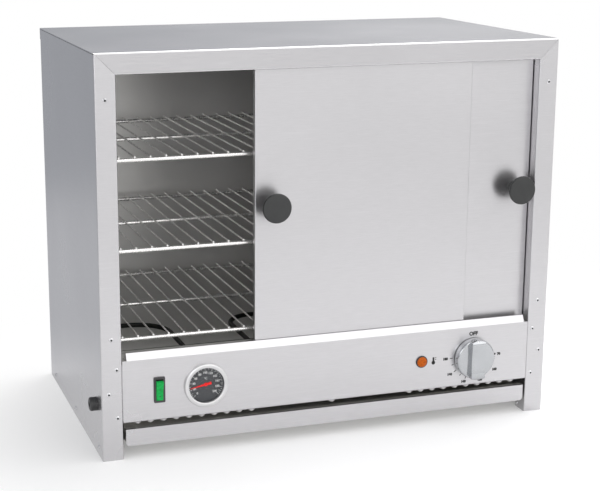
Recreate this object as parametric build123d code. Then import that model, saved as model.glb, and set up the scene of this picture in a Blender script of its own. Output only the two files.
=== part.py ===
from build123d import *
import os

# Pie warmer: a stainless counter-top cabinet with two sliding doors, three wire racks, a tubular
# heating element in the well below them, a control panel along the bottom and a crumb tray.
# Millimetres, +Z up. Inside this file x is counted from the middle of the cabinet, depth from the
# front face of the cabinet towards the back, and z from the table. The last lines move every piece
# so that the origin is under the middle of the whole footprint, knobs and cord gland included.

# Cabinet
cabinet_width = 600.0
cabinet_depth = 353.0
cabinet_height = 497.0
sheet = 1.2
bend_radius = 1.8
frame_face = 26.0
stile_return = 24.0
header_return = 4.6
seam_gap = 0.3
edge_flange = 15.0
roof_flange = 12.0
roof_flange_front = 32.0
roof_flange_back_gap = 4.0
back_panel_lift = 2.0

# Control panel and the sill above it
panel_bottom = 46.5
panel_top = 125.4
sill_rise = 10.7
sill_run = 5.0
sill_hem = 18.1
sill_bend = 0.5
sill_end_gap = 5.5
panel_flange = 30.0
tab_reach = 22.5
tab_inset = 3.5
tab_top_gap = 4.5
return_cut = 4.0
control_height = 85.3

# Louvres pressed down out of the panel's bottom flange
louvre_radius = 5.0
louvre_wall = 0.9
louvre_length = 12.0
louvre_pitch = 16.3
louvre_group = 10
louvre_from_side = 45.5
louvre_depth = 7.0
louvre_lift = 0.6

# Doors and their tracks
door_overlap = 13.0
door_thickness = 6.5
door_sheet = 1.0
door_lip = 12.0
door_radius = 1.0
door_side_gap = 0.6
door_rest_gap = 0.3
front_door_depth = 6.2
door_plane_gap = 1.9
door_opening = 169.8
track_sheet = 1.2
track_fin = 0.9
track_groove = 5.8
track_drop = 0.2
track_fin_gap = 0.5
track_front_gap = 0.6
track_back_gap = 3.3
track_skirt = 10.0
track_ear = 16.0
track_hang_gap = 3.0
door_tuck = 7.0

# Door knobs
knob_length = 26.0
knob_disc_radius = 18.4
knob_disc_rim = 4.2
knob_disc_dome = 1.4
crown_flat = 1.0
knob_neck_radius = 6.2
knob_base_radius = 9.5
knob_base_height = 3.0
knob_from_edge = 21.0
knob_height = 305.0
knob_screw_radius = 2.0
knob_screw_bite = 13.0
screw_head_radius = 4.5
screw_head_height = 2.6
screw_head_round = 1.2
screw_slot_width = 1.2
screw_slot_depth = 1.0

# Wire racks
rack_levels = (144.0, 255.0, 366.0)
rail_radius = 2.5
rod_radius = 1.15
rod_weld = 0.1
rod_pitch = 19.4
rack_side_gap = 9.0
rack_offset = 4.5
rack_front = 25.5
rod_front_inset = 1.5
rod_back_gap = 12.0
back_rail_gap = 22.0
rest_width = 17.0
rest_height = 12.0
rest_front = 8.0
rest_back_gap = 8.0
upright_width = 16.0
upright_side_gap = 0.2
upright_bottom = 129.0
upright_drop = 39.0
ear_overlap = 14.0

# Compartment behind the control panel
cover_back = 78.0
cover_slope_drop = 15.0
cover_lap = 8.0
cover_clearance = 0.3

# Heating element
element_radius = 3.2
element_height = 86.0
element_side_gap = 45.5
element_outer_pitch = 100.0
element_inner_pitch = 91.0
element_back_gap = 79.0
element_front_bend = 90.0
element_cold_end = 62.0
element_straight = 1.2
element_middle_bend = 42.0
bush_radius = 5.6
bush_flange_radius = 8.5
bush_flange = 2.0
bush_length = 14.0
terminal_radius = 1.6
terminal_length = 10.0
spade_width = 6.3
spade_thickness = 0.8
spade_length = 8.0
support_depth = 150.0
support_width = 15.0
support_web = 10.0

# Crumb tray
tray_bottom = 16.5
tray_top = 38.0
tray_side_gap = 3.2
tray_wall_inset = 3.0
tray_wall_top = 33.0
tray_sheet = 1.0
tray_back_gap = 28.0
tray_corner = 5.0
tray_hem = 9.0
tray_hem_front = 0.4
tray_hem_drop = 5.0
runner_front = 26.0
runner_wall_front = 14.0
runner_reach = 43.0
runner_height = 12.0

# Rocker switch
rocker_from_side = 71.9
rocker_bezel_width = 14.2
rocker_bezel_height = 32.7
rocker_bezel_thickness = 2.0
rocker_bezel_corner = 1.5
rocker_bezel_edge = 0.6
rocker_width = 8.4
rocker_cavity_width = 9.0
rocker_body_width = 12.0
rocker_cavity_height = 26.0
rocker_body_height = 29.2
rocker_bezel_opening = 27.2
rocker_cavity_depth = 8.0
rocker_body_depth = 22.0
rocker_hole_gap = 0.1
rocker_pivot_depth = 1.2
rocker_pin_radius = 0.9
rocker_tilt = 10.4
rocker_half = 12.2
rocker_end = 6.0
rocker_middle = 4.0
rocker_skirt = 1.5
rocker_back = 3.5
rocker_back_half = 9.0
rocker_spade_pitch = 9.0

# Dial thermometer
thermometer_from_side = 131.1
dial_bezel_radius = 28.0
dial_window_radius = 22.6
dial_glass_radius = 24.0
dial_bezel_height = 4.5
dial_glass = 1.5
dial_glass_set_back = 0.9
dial_plate = 0.6
dial_seat_depth = 2.0
dial_seat_width = 1.0
dial_case_radius = 25.0
dial_case_depth = 16.0
dial_case_wall = 1.5
dial_hole_gap = 0.2
needle_length = 20.5
needle_tail = 7.5
needle_thickness = 0.5
needle_tip_width = 0.4
needle_tail_width = 3.4
needle_lift = 0.4
needle_hub_radius = 2.2
needle_hub_rise = 0.3
spindle_radius = 0.6
spindle_length = 6.5
dial_zero_angle = 225.0
dial_sweep = 266.0
dial_full_scale = 200.0
dial_reading = 25.5

# Pilot lamp
lamp_from_side = 178.2
lamp_rim_radius = 7.95
lamp_lens_radius = 6.6
lamp_rim_height = 1.6
lamp_dome = 2.2
lamp_lens_rise = 0.4
lamp_lens_seat = 0.6
lamp_body_radius = 6.0
lamp_body_depth = 26.0
lamp_hole_gap = 0.1

# Thermostat
thermostat_from_side = 104.8
thermostat_height = 84.3
thermostat_width = 46.0
thermostat_body_height = 36.0
thermostat_body_depth = 36.0
thermostat_corner = 2.0
shaft_radius = 3.0
shaft_reach = 13.0
shaft_root = 8.0
shaft_end_gap = 0.3
shaft_flat = 2.0
shaft_flat_length = 8.0
bush_sleeve_radius = 5.0
bush_sleeve_length = 4.0
bush_hole_gap = 0.2
bush_room = 0.4
thermostat_screw_spacing = 28.0
thermostat_screw_length = 7.0
thermostat_screw_head_radius = 3.0
thermostat_screw_head = 0.9
dial_knob_radius = 26.6
dial_knob_rim = 2.5
dial_knob_gap = 1.2
dial_knob_skirt = 9.5
dial_knob_wall = 2.5
dial_knob_hub = 8.0
grip_width = 19.5
grip_rise = 7.5
grip_rim_gap = 0.4
grip_end_round = 5.0
grip_edge_round = 1.0
grip_scoop_radius = 120.0
grip_scoop = 1.2

# Bulbs and capillary tubes
bulb_radius = 3.0
bulb_length = 70.0
bulb_front = 110.0
bulb_wall_gap = 4.4
bulb_end_round = 1.0
thermostat_bulb_height = 108.0
thermometer_bulb_height = 121.0
capillary_radius = 0.9
capillary_bend = 3.2
capillary_lead = 12.0
capillary_side_step = 22.0
capillary_exit = 8.0
capillary_lane_depth = 60.0
capillary_lanes = (-1.0, 1.4)
capillary_from_thermostat = (8.0, 4.0)
capillary_from_dial = 10.0
clip_width = 10.0
clip_wall = 0.8
clip_foot_width = 4.8
clip_mouth = 3.0
clip_from_end = 14.0
grommet_from_side = 16.0
grommet_height = 98.0
grommet_radius = 6.0
grommet_groove = 1.5
grommet_lip = 2.0
grommet_bore = 3.2

# Cord gland, terminal block and earth stud
gland_depth = 34.6
gland_height = 63.5
gland_radius = 8.6
gland_reach = 8.5
gland_thread_radius = 6.0
gland_bore = 3.7
gland_inner = 9.0
gland_nut = 4.0
gland_round = 2.2
block_from_side = 36.0
block_length = 42.0
block_width = 16.0
block_height = 14.0
block_back_gap = 3.0
block_ways = 3
block_screw_well = 2.6
block_screw_radius = 2.2
block_screw_depth = 2.0
block_well_depth = 5.0
block_wire_radius = 1.9
block_wire_height = 4.5
stud_from_side = 100.0
stud_depth = 48.0
stud_radius = 2.0
stud_length = 13.0
stud_nut_radius = 3.6
stud_nut_height = 3.2

# Fasteners
rivet_head_radius = 2.7
rivet_head_height = 1.3
rivet_head_edge = 0.5
rivet_head_slope = 0.9
rivet_shank_radius = 1.6
rivet_tail = 3.0
rivet_mandrel_radius = 1.1
stile_rivet_drop = 54.7
lower_stile_rivets = ((13.4, 153.8), (19.2, 115.6), (8.9, 85.2), (19.2, 54.2))
side_rivet_height = 11.0
foot_rivet_depth = 19.5
foot_rivet_height = 6.0
back_screw_radius = 1.9
back_screw_head = 3.6
back_screw_head_height = 1.7
back_screw_head_round = 1.0
back_screw_cross = 3.6
back_screw_inset = 8.5
back_screw_low = 30.0
back_screw_drop = 29.0
back_screw_bite = 4.0
clearance = 0.05

half_width = cabinet_width / 2
inner_half = half_width - sheet
opening_half = half_width - frame_face
header_bottom = cabinet_height - frame_face
roof_under = cabinet_height - sheet
front_y = -cabinet_depth / 2
rear_door_depth = front_door_depth + door_thickness + door_plane_gap
track_back = rear_door_depth + door_thickness + track_back_gap
sill_top = panel_top + sill_rise
track_floor = panel_top - track_drop
door_width = opening_half + door_overlap
door_bottom = track_floor + door_rest_gap
door_top = header_bottom + door_tuck
back_inside = cabinet_depth - sheet
cover_front_top = track_floor - track_sheet
cover_floor = panel_bottom + sheet
front_rail = rack_front + rail_radius
back_rail = cabinet_depth - back_rail_gap
rest_back = cabinet_depth - rest_back_gap
element_outer = half_width - element_side_gap
element_middle = element_outer - element_outer_pitch
element_inner = element_middle - element_inner_pitch
rocker_x = -half_width + rocker_from_side
thermometer_x = -half_width + thermometer_from_side
lamp_x = half_width - lamp_from_side
thermostat_x = half_width - thermostat_from_side
grommet_x = half_width - grommet_from_side
bulb_x = inner_half - bulb_wall_gap
dial_glass_front = dial_glass_set_back - dial_bezel_height
dial_plate_radius = dial_case_radius - dial_case_wall - clearance
dial_face = dial_seat_depth - dial_plate
knob_face = -dial_knob_gap - dial_knob_skirt
grip_face = knob_face - grip_rise


def block(x, depth, z):
    """Box between the given limits."""
    size = (x[1] - x[0], depth[1] - depth[0], z[1] - z[0])
    centre = ((x[0] + x[1]) / 2, front_y + (depth[0] + depth[1]) / 2, (z[0] + z[1]) / 2)
    return Pos(*centre) * Box(*size)


def round_along_depth(x, z, depth, radius):
    """Cylinder along the depth."""
    middle = front_y + (depth[0] + depth[1]) / 2
    return Pos(x, middle, z) * Rot(90, 0, 0) * Cylinder(radius, depth[1] - depth[0])


def round_along_x(x, depth, z, radius):
    """Cylinder along the width."""
    middle = (x[0] + x[1]) / 2
    return Pos(middle, front_y + depth, z) * Rot(0, 90, 0) * Cylinder(radius, x[1] - x[0])


def round_along_z(x, depth, z, radius):
    """Cylinder along the height."""
    middle = (z[0] + z[1]) / 2
    return Pos(x, front_y + depth, middle) * Cylinder(radius, z[1] - z[0])


def joined(pieces):
    """All the pieces fused together."""
    pieces = list(pieces)
    whole = pieces[0]
    for piece in pieces[1:]:
        whole = whole + piece
    return whole


def apart(pieces):
    """The pieces kept as separate solids in one group."""
    return Compound(children=[solid for piece in pieces for solid in piece.solids()])


def mirrored(shape):
    """The same shape on the other side of the cabinet."""
    return mirror(shape, about=Plane.YZ)


def with_twins(left):
    """Left-hand pieces and their right-hand twins, as one group."""
    return apart([*left, *[mirrored(piece) for piece in left]])


def fold_outline(points, thickness, radius):
    """Closed outline of a folded sheet. The points run along one face, the metal lies to their left."""
    points = [Vector(*point) for point in points]
    ways = [(b - a).normalized() for a, b in zip(points, points[1:])]
    normals = [Vector(-way.Y, way.X) for way in ways]
    far = [points[0] + normals[0] * thickness]
    near_radii = []
    far_radii = []
    radii = radius if isinstance(radius, tuple) else (radius,) * (len(points) - 2)
    for point, before, after, radius in zip(points[1:], normals, normals[1:], radii):
        far.append(point + (before + after) * (thickness / (1 + before.dot(after))))
        left_turn = before.X * after.Y - before.Y * after.X > 0
        inner_radius = max(radius - thickness, 0.2)
        near_radii.append(radius if left_turn else inner_radius)
        far_radii.append(inner_radius if left_turn else radius)
    far.append(points[-1] + normals[-1] * thickness)
    near_line = FilletPolyline(*points, radius=near_radii)
    far_line = FilletPolyline(*far, radius=far_radii)
    ends = [Line(points[0], far[0]), Line(points[-1], far[-1])]
    return make_face([*near_line.edges(), *far_line.edges(), *ends])


def folded_along_x(points, x, thickness=sheet, radius=bend_radius):
    """Sheet folded along (depth, z) points and running along the width."""
    face = Plane.YZ * fold_outline(points, thickness, radius)
    return Pos(x[0], front_y, 0) * extrude(face, amount=x[1] - x[0], dir=(1, 0, 0))


def folded_along_z(points, z, thickness=sheet, radius=bend_radius):
    """Sheet folded along (x, depth) points and standing along the height."""
    face = fold_outline(points, thickness, radius)
    return Pos(0, front_y, z[0]) * extrude(face, amount=z[1] - z[0], dir=(0, 0, 1))


def turned_from(outline, x, z):
    """Round piece turned about an axis along the depth, from a closed (radius, depth) outline."""
    turned = revolve(Plane.XZ * make_face(outline), axis=Axis.Z, revolution_arc=360)
    return Pos(x, front_y, z) * Rot(-90, 0, 0) * turned


def turned_on_depth(points, x, z):
    """The same from (radius, depth) points joined by straight lines."""
    return turned_from(Polyline(*points, close=True).edges(), x, z)


def tube(points, radius, bend):
    """Round tube along straight runs joined by arcs."""
    path = FilletPolyline(*points, radius=bend) if len(points) > 2 else Line(*points)
    start = Plane(origin=path @ 0, z_dir=path % 0)
    return sweep(start * Circle(radius), path=path)


def at(x, depth, z):
    """Point in cabinet coordinates."""
    return (x, front_y + depth, z)


# Where the fasteners sit: (distance from the side, height) on the stiles, depths along the sides
stile_rivet_spots = ((12.4, cabinet_height - stile_rivet_drop), *lower_stile_rivets)
side_rivet_depths = (22.3, 167.8, cabinet_depth - 41.8)
back_screw_heights = (back_screw_low, cabinet_height / 2, cabinet_height - back_screw_drop)
back_screw_x = half_width - back_screw_inset
rivet_hole_radius = rivet_shank_radius + clearance


def rivet_along_depth(x, z):
    """Blind rivet with its head on the front face of the cabinet."""
    outline = (
        (rivet_mandrel_radius, -rivet_head_height),
        (rivet_head_radius - rivet_head_slope, -rivet_head_height),
        (rivet_head_radius, -rivet_head_edge),
        (rivet_head_radius, 0),
        (rivet_shank_radius, 0),
        (rivet_shank_radius, rivet_tail),
        (0, rivet_tail),
        (0, 0),
        (rivet_mandrel_radius, 0),
    )
    return turned_on_depth(outline, x, z)


def rivet_on_side(depth, z, x):
    """Blind rivet whose head stands on the left-hand outer face at x."""
    return Pos(x, front_y + depth, z) * Rot(0, 0, -90) * Pos(0, -front_y, 0) * rivet_along_depth(0, 0)


def stile_rivets():
    return with_twins([rivet_along_depth(-half_width + inset, height) for inset, height in stile_rivet_spots])


def side_rivets():
    return with_twins([rivet_on_side(depth, side_rivet_height, -half_width) for depth in side_rivet_depths])


def foot_rivets():
    return with_twins([rivet_on_side(foot_rivet_depth, foot_rivet_height, opening_half)])


def stile_rivet_holes(depth):
    """Holes for the stile rivets through sheets lying at the given depths, left side."""
    return [
        round_along_depth(-half_width + inset, height, depth, rivet_hole_radius)
        for inset, height in stile_rivet_spots
    ]


def side_rivet_holes():
    """Holes for the side rivets through the left side panel and its runner."""
    x = (-half_width - 1, -half_width + rivet_tail + 1)
    return [round_along_x(x, depth, side_rivet_height, rivet_hole_radius) for depth in side_rivet_depths]


def back_screw_holes(depth):
    """Holes for the left-hand back screws, through a sheet that starts at the given depth."""
    run = (depth - 1, depth + sheet + 1)
    return [
        round_along_depth(-back_screw_x, height, run, back_screw_radius + clearance)
        for height in back_screw_heights
    ]


def left_panel():
    """Left side, with its front stile, the return behind it and the flanges at the back and base."""
    back = back_inside
    walk = (
        (-half_width + edge_flange, back),
        (-half_width, back),
        (-half_width, 0),
        (-opening_half, 0),
        (-opening_half, stile_return),
    )
    panel = folded_along_z(walk, (0, roof_under - bend_radius + sheet))
    above_mitre = Plane.XZ * Polygon(
        (-half_width - 1, cabinet_height + 1 - seam_gap),
        (-opening_half + 5, header_bottom - 5 - seam_gap),
        (-opening_half + 5, cabinet_height + 5),
        align=None,
    )
    mitre_depth = stile_return + 2
    cut = extrude(above_mitre, amount=mitre_depth, dir=(0, 1, 0))
    panel = panel - Pos(0, front_y - 1, 0) * cut
    return_clear = (-opening_half - sheet - 1, -opening_half + 1)
    behind_panel = (panel_bottom - return_cut, panel_top - return_cut)
    panel = panel - block(return_clear, (sheet, stile_return + 1), behind_panel)
    panel = panel + block((-inner_half - 0.1, -half_width + edge_flange), (sheet, back - sheet), (0, sheet))
    holes = [*stile_rivet_holes((-1, sheet + 1)), *side_rivet_holes(), *back_screw_holes(back - sheet)]
    holes.append(round_along_x(return_clear, foot_rivet_depth, foot_rivet_height, rivet_hole_radius))
    for hole in holes:
        panel = panel - hole
    return panel


def left_side_panel():
    x = (-half_width - 1, -inner_half + 1)
    return left_panel() - round_along_x(x, gland_depth, gland_height, gland_thread_radius + clearance)


def right_side_panel():
    return mirrored(left_panel())


def top_cover():
    """Roof, with the header of the front frame mitred into the stiles and a flange at the back."""
    walk = (
        (cabinet_depth, cabinet_height - edge_flange),
        (cabinet_depth, cabinet_height),
        (0, cabinet_height),
        (0, header_bottom),
        (header_return, header_bottom),
    )
    cover = folded_along_x(walk, (-half_width, half_width))
    below_mitre = Plane.XZ * Polygon(
        (-half_width - 2, cabinet_height + 2),
        (-half_width - 2, header_bottom - 5),
        (-opening_half + 5, header_bottom - 5),
        align=None,
    )
    corner = Pos(0, front_y - 1, 0) * extrude(below_mitre, amount=header_return + 2, dir=(0, 1, 0))
    behind_stile = block(
        (-half_width - 1, -opening_half + 1),
        (sheet + 0.1, header_return + 1),
        (header_bottom - 1, roof_under),
    )
    side_flange = block(
        (-inner_half, -inner_half + sheet),
        (roof_flange_front, back_inside - roof_flange_back_gap),
        (roof_under - roof_flange, roof_under + 0.1),
    )
    for side in (lambda shape: shape, mirrored):
        cover = cover - side(corner) - side(behind_stile) + side(side_flange)
    return cover


def back_panel():
    """Back sheet, screwed to the rear flanges of the sides."""
    panel = block(
        (-inner_half, inner_half),
        (back_inside, cabinet_depth),
        (back_panel_lift, cabinet_height - edge_flange - seam_gap),
    )
    for hole in back_screw_holes(back_inside):
        panel = panel - hole - mirrored(hole)
    return panel


def back_screw(height):
    """Pan-head screw with a cross slot, on the left."""
    crown = cabinet_depth + back_screw_head_height
    head = round_along_depth(-back_screw_x, height, (cabinet_depth, crown), back_screw_head)
    head = fillet(head.edges().group_by(Axis.Y)[-1], back_screw_head_round)
    slot = Pos(*at(-back_screw_x, crown, height)) * Box(back_screw_cross, 1.6, 0.8)
    upright_slot = Pos(*at(-back_screw_x, crown, height)) * Box(0.8, 1.6, back_screw_cross)
    shank = (back_inside - back_screw_bite, cabinet_depth)
    return head - slot - upright_slot + round_along_depth(-back_screw_x, height, shank, back_screw_radius)


def back_screws():
    return with_twins([back_screw(height) for height in back_screw_heights])


def louvre(x):
    """Scoop pressed down from the bottom flange, and the opening above it."""
    back = louvre_depth + louvre_length
    height = panel_bottom + louvre_lift
    shapes = []
    for radius in (louvre_radius, louvre_radius - louvre_wall):
        nose = Pos(*at(x, louvre_depth, height)) * Sphere(radius)
        shapes.append(nose + round_along_depth(x, height, (louvre_depth, back), radius))
    keep_below = block(
        (x - louvre_radius - 1, x + louvre_radius + 1),
        (0, back + 1),
        (panel_bottom - louvre_radius - 1, panel_bottom + 0.1),
    )
    return (shapes[0] - shapes[1]) & keep_below, shapes[1]


def louvre_places():
    outermost = half_width - louvre_from_side
    group = [outermost - index * louvre_pitch for index in range(louvre_group)]
    return [-x for x in group] + [0.0] + group


def control_panel():
    """Front panel with the sloping sill above, tabs behind the stiles and a louvred bottom flange."""
    edge = opening_half - seam_gap
    walk = (
        (sill_run, sill_top - sill_hem),
        (sill_run, sill_top),
        (0, panel_top),
        (0, panel_bottom),
        (panel_flange, panel_bottom),
    )
    radii = (sill_bend, bend_radius, bend_radius)
    panel = folded_along_x(walk, (-edge, edge), radius=radii)
    end_x = (-edge - 1, -edge + sill_end_gap)
    end = block(end_x, (-1, sill_run + 1), (panel_top + 0.2, sill_top + 1))
    hem_end = block(end_x, (sheet + 1, sill_run + 1), (sill_top - sill_hem - 1, sill_top))
    tab_height = (panel_bottom + tab_inset, panel_top - tab_top_gap)
    tab = block((-edge - tab_reach, -edge + 4), (sheet, 2 * sheet), tab_height)
    for side in (lambda shape: shape, mirrored):
        panel = panel - side(end) - side(hem_end) + side(tab)
        for hole in stile_rivet_holes((0, 3 * sheet)):
            panel = panel - side(hole)
    for x in louvre_places():
        scoop, opening = louvre(x)
        panel = panel - opening + scoop
    for hole in control_holes():
        panel = panel - hole
    return panel


def control_holes():
    """Holes in the control panel for the switch, the dial, the lamp and the thermostat."""
    through = (-1, sheet + 1)
    half = (rocker_body_width / 2 + rocker_hole_gap, rocker_body_height / 2 + rocker_hole_gap)
    holes = [
        block(
            (rocker_x - half[0], rocker_x + half[0]),
            through,
            (control_height - half[1], control_height + half[1]),
        ),
        round_along_depth(thermometer_x, control_height, through, dial_case_radius + dial_hole_gap),
        round_along_depth(lamp_x, control_height, through, lamp_body_radius + lamp_hole_gap),
        round_along_depth(thermostat_x, thermostat_height, through, bush_sleeve_radius + bush_hole_gap),
    ]
    for x in thermostat_screw_places():
        holes.append(round_along_depth(x, thermostat_height, through, rivet_hole_radius))
    return holes


def thermostat_screw_places():
    return (thermostat_x - thermostat_screw_spacing / 2, thermostat_x + thermostat_screw_spacing / 2)


def wiring_cover():
    """Folded cover that closes the compartment behind the control panel."""
    walk = (
        (panel_flange - cover_lap, cover_floor),
        (cover_back, cover_floor),
        (cover_back, cover_front_top - cover_slope_drop),
        (track_back, cover_front_top),
        (track_back, cover_front_top - track_skirt),
    )
    edge = inner_half - cover_clearance
    cover = folded_along_x(walk, (-edge, edge))
    wall = (cover_back - sheet - 1, cover_back + 1)
    for x in element_ends():
        cover = cover - round_along_depth(x, element_height, wall, bush_radius + clearance)
    return cover - round_along_depth(grommet_x, grommet_height, wall, grommet_radius - grommet_groove)


def lower_door_track():
    """Two-groove track that the doors stand in."""
    edge = opening_half - seam_gap
    x = (-edge, edge)
    hem_x = (-edge + sill_end_gap, edge - sill_end_gap)
    groove = (track_floor, track_floor + track_groove)
    return joined(
        (
            block(x, (sill_run, track_back), (track_floor - track_sheet, track_floor)),
            block(hem_x, (sill_run, sill_run + track_sheet), (sill_top - sill_hem, track_floor)),
            block(x, track_fin_run(), groove),
            block(x, track_back_lip(), groove),
            block(x, (track_back - track_sheet, track_back), (cover_front_top - track_skirt, track_floor)),
        )
    )


def track_fin_run():
    """Depths of the fin that stands between the two doors."""
    front = front_door_depth + door_thickness + track_fin_gap
    return (front, front + track_fin)


def track_back_lip():
    """Depths of the lip behind the rear door."""
    return (track_back - 2 * track_sheet, track_back - track_sheet)


def upper_door_track():
    """Deeper two-groove track under the roof, with room to lift the doors out."""
    x = (-opening_half - track_ear, opening_half + track_ear)
    top = (roof_under - track_sheet, roof_under)
    hang = (header_bottom + track_hang_gap, roof_under)
    front_lip = (front_door_depth - track_front_gap - track_sheet, front_door_depth - track_front_gap)
    strips = [block(x, depth, hang) for depth in (front_lip, track_fin_run(), track_back_lip())]
    return joined([block(x, (front_lip[0], track_back), top), *strips])


def door(left_edge, depth):
    """Folded door panel with its front face at the given depth."""
    right_edge = left_edge + door_width
    back = depth + door_thickness
    walk = (
        (left_edge + door_lip, back),
        (left_edge, back),
        (left_edge, depth),
        (right_edge, depth),
        (right_edge, back),
        (right_edge - door_lip, back),
    )
    panel = folded_along_z(walk, (door_bottom, door_top), door_sheet, door_radius)
    inside = (left_edge + door_sheet, right_edge - door_sheet)
    for low, high in ((door_bottom, door_bottom + door_sheet), (door_top - door_sheet, door_top)):
        panel = panel + block(inside, (depth + door_sheet - 0.1, back - 0.1), (low, high))
    return panel


def screw_hole(x, depth):
    through = (depth - 1, depth + door_sheet + 1)
    return round_along_depth(x, knob_height, through, knob_screw_radius + clearance)


front_left_edge = -opening_half + door_side_gap + door_opening
rear_left_edge = opening_half - door_side_gap - door_width
front_knob_x = front_left_edge + knob_from_edge
rear_knob_x = rear_left_edge + door_width - knob_from_edge


def front_door():
    return door(front_left_edge, front_door_depth) - screw_hole(front_knob_x, front_door_depth)


def rear_door():
    return door(rear_left_edge, rear_door_depth) - screw_hole(rear_knob_x, rear_door_depth)


def door_knob(x, depth):
    """Mushroom knob: a base, a waisted neck and a flat disc."""
    face = depth - knob_length
    bore = knob_screw_radius + clearance
    disc_back = face + knob_disc_rim + knob_disc_dome
    outline = (
        Line((bore, depth), (knob_base_radius, depth)),
        Line((knob_base_radius, depth), (knob_base_radius, depth - knob_base_height)),
        ThreePointArc(
            (knob_base_radius, depth - knob_base_height),
            (knob_neck_radius, (depth - knob_base_height + disc_back) / 2),
            (knob_base_radius + 2, disc_back),
        ),
        Line((knob_base_radius + 2, disc_back), (knob_disc_radius - 1, disc_back)),
        ThreePointArc(
            (knob_disc_radius - 1, disc_back),
            (knob_disc_radius, disc_back - knob_disc_rim / 2),
            (knob_disc_radius - 1, face + knob_disc_dome),
        ),
        ThreePointArc(
            (knob_disc_radius - 1, face + knob_disc_dome),
            (knob_disc_radius / 2, face + knob_disc_dome * 0.3),
            (crown_flat, face),
        ),
        Line((crown_flat, face), (0, face)),
        Line((0, face), (0, depth - knob_screw_bite - 1)),
        Line((0, depth - knob_screw_bite - 1), (bore, depth - knob_screw_bite - 1)),
        Line((bore, depth - knob_screw_bite - 1), (bore, depth)),
    )
    return turned_from(outline, x, knob_height)


def knob_screw(x, depth):
    """Screw through the door sheet from behind."""
    inside = depth + door_sheet
    shank = round_along_depth(x, knob_height, (depth - knob_screw_bite, inside), knob_screw_radius)
    head = round_along_depth(x, knob_height, (inside, inside + screw_head_height), screw_head_radius)
    head = fillet(head.edges().group_by(Axis.Y)[-1], screw_head_round)
    slot = block(
        (x - screw_head_radius - 1, x + screw_head_radius + 1),
        (inside + screw_head_height - screw_slot_depth, inside + screw_head_height + 1),
        (knob_height - screw_slot_width / 2, knob_height + screw_slot_width / 2),
    )
    return shank + head - slot


def rack(rail_height):
    """Wire rack: three rails across with thin rods welded on top."""
    reach = inner_half - rack_side_gap
    rails = [
        round_along_x((-reach - rack_offset, reach - rack_offset), depth, rail_height, rail_radius)
        for depth in (front_rail, (front_rail + back_rail) / 2, back_rail)
    ]
    rod_height = rail_height + rail_radius + rod_radius - rod_weld
    rod_run = (rack_front + rod_front_inset, cabinet_depth - rod_back_gap)
    rod_count = int(2 * reach / rod_pitch) + 1
    first = -(rod_count - 1) * rod_pitch / 2 - rack_offset
    rods = [
        round_along_depth(first + index * rod_pitch, rod_height, rod_run, rod_radius)
        for index in range(rod_count)
    ]
    return rails[0].fuse(*rails[1:], *rods)


def rack_rests():
    """Angle strips on the side walls that the racks lie on."""
    rests = []
    for level in rack_levels:
        top = level - rail_radius
        wall = block((-inner_half, -inner_half + sheet), (rest_front, rest_back), (top - rest_height, top))
        ledge = block((-inner_half, -inner_half + rest_width), (rest_front, rest_back), (top - sheet, top))
        rests.append(wall + ledge)
    return with_twins(rests)


def front_uprights():
    """Strips riveted behind the stiles, which hold the front ends of the rack rests."""
    outer = -inner_half + bend_radius - sheet + upright_side_gap
    x = (outer, outer + upright_width)
    strip = block(x, (sheet, 2 * sheet), (upright_bottom, cabinet_height - upright_drop))
    for hole in stile_rivet_holes((0, 3 * sheet))[:2]:
        strip = strip - hole
    for level in rack_levels:
        top = level - rail_radius - sheet
        ear_depth = (sheet, rest_front + ear_overlap)
        strip = strip + block((-inner_half + sheet, x[1]), ear_depth, (top - sheet, top))
    return with_twins([strip])


def heating_element():
    """One long tube bent into a serpentine, from one cold end to the other."""
    back = cabinet_depth - element_back_gap
    half = (
        (element_outer, element_cold_end),
        (element_outer, back),
        (element_middle, back),
        (element_middle, element_front_bend),
        (element_inner, element_front_bend),
        (element_inner, back),
    )
    outer_bend = (element_outer_pitch - element_straight) / 2
    front_bend = (element_inner_pitch - element_straight) / 2
    bends = (outer_bend, outer_bend, front_bend, front_bend, element_middle_bend)
    left = [at(-x, depth, element_height) for x, depth in half]
    right = [at(x, depth, element_height) for x, depth in reversed(half)]
    return tube(left + right, element_radius, [*bends, *reversed(bends)])


def element_ends():
    return (-element_outer, element_outer)


def element_bushes():
    """Threaded bushes that carry the element through the cover's rear wall."""
    bushes = []
    for x in element_ends():
        flange = (cover_back, cover_back + bush_flange)
        body = (cover_back - bush_length + bush_flange, cover_back + 0.1)
        bush = round_along_depth(x, element_height, flange, bush_flange_radius)
        bush = bush + round_along_depth(x, element_height, body, bush_radius)
        bore = round_along_depth(x, element_height, (body[0] - 1, flange[1] + 1), element_radius + clearance)
        bushes.append(bush - bore)
    return apart(bushes)


def element_terminals():
    """Pin and spade at each cold end."""
    tip = element_cold_end - terminal_length
    pins = []
    for x in element_ends():
        pin = round_along_depth(x, element_height, (tip, element_cold_end), terminal_radius)
        spade = block(
            (x - spade_width / 2, x + spade_width / 2),
            (tip - spade_length, tip + terminal_radius),
            (element_height - spade_thickness / 2, element_height + spade_thickness / 2),
        )
        pins.append(pin + spade)
    return apart(pins)


def element_support():
    """Angle bar across the well that the element lies on."""
    top = element_height - element_radius - cover_clearance
    edge = inner_half - cover_clearance
    flat = block((-edge, edge), (support_depth, support_depth + support_width), (top - sheet, top))
    web = block((-edge, edge), (support_depth, support_depth + sheet), (top - support_web, top))
    return flat + web


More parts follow.
